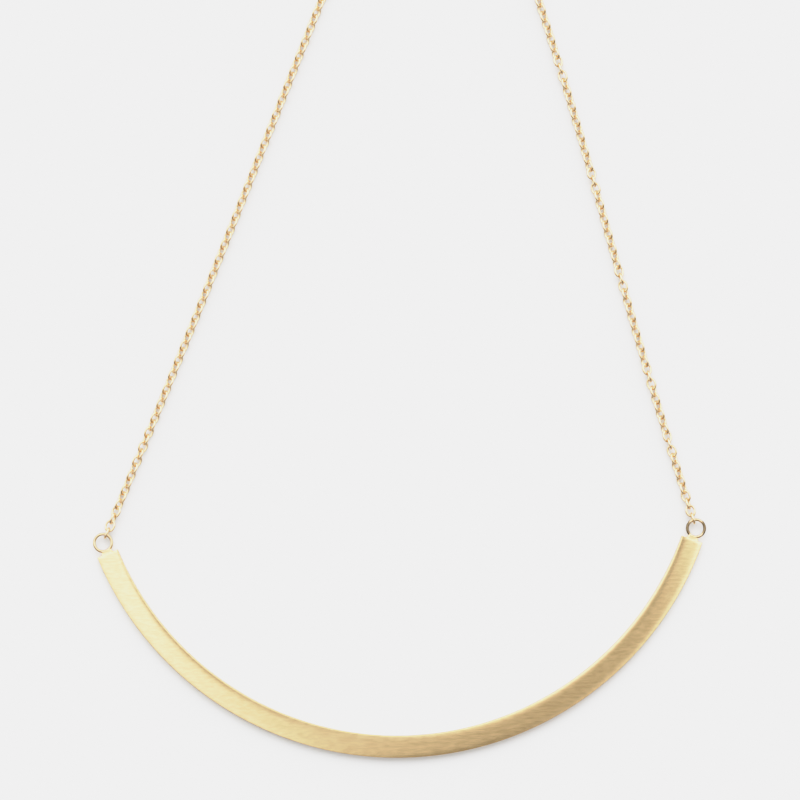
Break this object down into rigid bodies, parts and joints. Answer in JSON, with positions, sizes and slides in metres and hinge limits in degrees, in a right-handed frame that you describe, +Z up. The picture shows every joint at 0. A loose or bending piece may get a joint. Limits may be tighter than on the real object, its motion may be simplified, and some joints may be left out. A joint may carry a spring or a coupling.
{
  "type": "gold necklace",
  "caption": "Bar-collar necklace lying flat: a curved flat brushed gold bar with a soldered ring at each end, a fine cable chain on each side and a plain spring-ring clasp.",
  "frame": {"origin": "under the middle of the bar, on its flat back, which lies on the surface", "axes": "+Z up, away from the surface it lies on; +Y from the bar's middle towards its centre of curvature and on towards the clasp; +X to the right as the domed face is seen"},
  "size_m": [0.1228, 0.1823, 0.002],
  "materials": {
    "brushed_gold": "satin, straight brushed lines along the chord of the bar",
    "polished_gold": "polished"
  },
  "bodies": {
    "root": {"collar_bar": "brushed_gold", "chain_left": "polished_gold", "chain_right": "polished_gold", "clasp": "polished_gold"}
  },
  "joints": []
}
